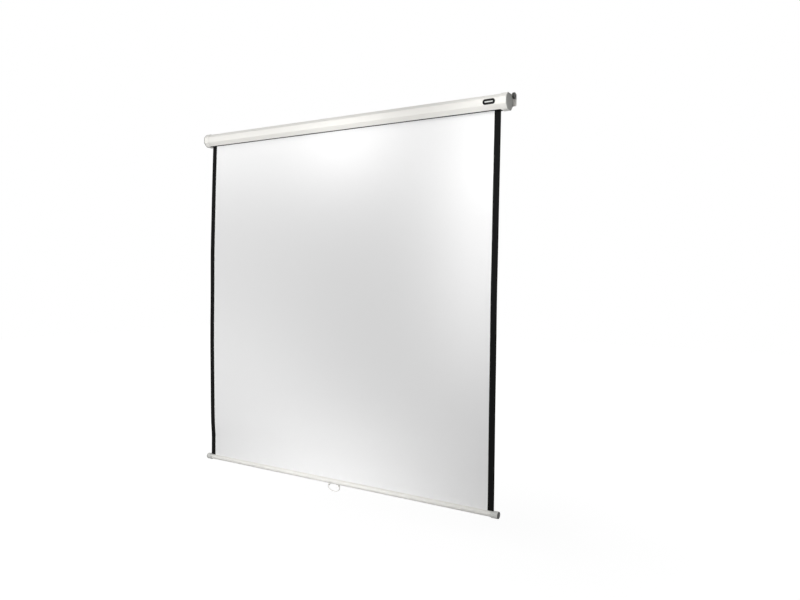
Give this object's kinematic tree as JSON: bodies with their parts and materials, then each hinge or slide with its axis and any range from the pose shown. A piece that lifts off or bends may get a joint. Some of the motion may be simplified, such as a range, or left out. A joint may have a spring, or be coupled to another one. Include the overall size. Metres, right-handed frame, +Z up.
{
  "type": "pull-down projection screen",
  "caption": "Wall-mounted pull-down projection screen: a square matte sheet with black side borders on a locking spring roller in an octagonal case, with a bottom bar and swinging handle.",
  "frame": {"origin": "on the wall, midway between the two wall brackets, level with the middle of the case", "axes": "+X to the viewer's right along the case, +Y into the wall, +Z up"},
  "size_m": [1.6738, 0.1071, 1.7541],
  "materials": {
    "white_paint": "white powder coat, satin",
    "white_plastic": "white moulded ABS, fine grain",
    "grey_plastic": "light grey moulded plastic",
    "dark_plastic": "dark grey moulded plastic",
    "nylon": "natural nylon",
    "zinc_steel": "bright zinc plate",
    "spring_steel": "oiled spring steel",
    "core_wood": "plain turned dowel",
    "sheet_white": "matte white coated cloth with a black back",
    "border_black": "matte black border"
  },
  "bodies": {
    "case": {"case_shell": "white_paint", "end_cap_left": "white_plastic", "end_cap_right": "white_plastic", "cap_screw_left_front": "zinc_steel", "cap_screw_left_back": "zinc_steel", "cap_screw_right_front": "zinc_steel", "cap_screw_right_back": "zinc_steel", "wall_bracket_left": "white_paint", "wall_bracket_right": "white_paint", "bracket_bolt_left": "dark_plastic", "bracket_bolt_right": "dark_plastic", "bracket_nut_left": "zinc_steel", "bracket_nut_right": "zinc_steel", "nameplate": "dark_plastic", "roller_bush": "nylon", "spindle_holder": "zinc_steel", "spindle": "zinc_steel", "spring_anchor_fixed": "zinc_steel", "torsion_spring": "spring_steel", "ratchet_wheel": "zinc_steel", "screen_sheet": "sheet_white", "border_left": "border_black", "border_right": "border_black"},
    "roller": {"roller_tube": "zinc_steel", "idle_plug": "nylon", "gudgeon_pin": "zinc_steel", "sheet_roll": "sheet_white", "lock_hub": "nylon", "spring_anchor_moving": "nylon", "spring_core": "core_wood", "pawl_pin_upper": "zinc_steel", "pawl_pin_lower": "zinc_steel"},
    "pawl_upper": {"pawl_upper": "zinc_steel"},
    "pawl_lower": {"pawl_lower": "zinc_steel"},
    "bar": {"bottom_tube": "white_paint", "hem_rod": "zinc_steel", "hem_sleeve": "sheet_white", "bar_cap_left": "grey_plastic", "bar_cap_right": "grey_plastic", "bar_plug_left": "dark_plastic", "bar_plug_right": "dark_plastic", "handle_lug_left": "white_paint", "handle_lug_right": "white_paint", "lug_rivet_left": "zinc_steel", "lug_rivet_right": "zinc_steel"},
    "handle": {"pull_handle": "white_plastic"}
  },
  "joints": [
    {"name": "bar_slide", "type": "slide", "parent": "case", "child": "bar", "axis": [0, 0, 1], "range_m": [0, 1.608], "deforming": ["screen_sheet", "border_left", "border_right"]},
    {"name": "roller_turn", "type": "hinge", "parent": "case", "child": "roller", "pos_m": [0, -0.06, 0], "axis": [1, 0, 0], "range_deg": [-5070, 0]},
    {"name": "pawl_upper_swing", "type": "hinge", "parent": "roller", "child": "pawl_upper", "pos_m": [0.8153, -0.06827, 0.00579], "axis": [1, 0, 0], "range_deg": [0, 25]},
    {"name": "pawl_lower_swing", "type": "hinge", "parent": "roller", "child": "pawl_lower", "pos_m": [0.8153, -0.05173, -0.00579], "axis": [1, 0, 0], "range_deg": [-25, 0]},
    {"name": "handle_swing", "type": "hinge", "parent": "bar", "child": "handle", "pos_m": [0, -0.07465, -1.677], "axis": [1, 0, 0], "range_deg": [-90, 90]}
  ],
  "couplings": [
    {"joint": "roller_turn", "follows": "bar_slide", "rad_per_m": -55}
  ]
}
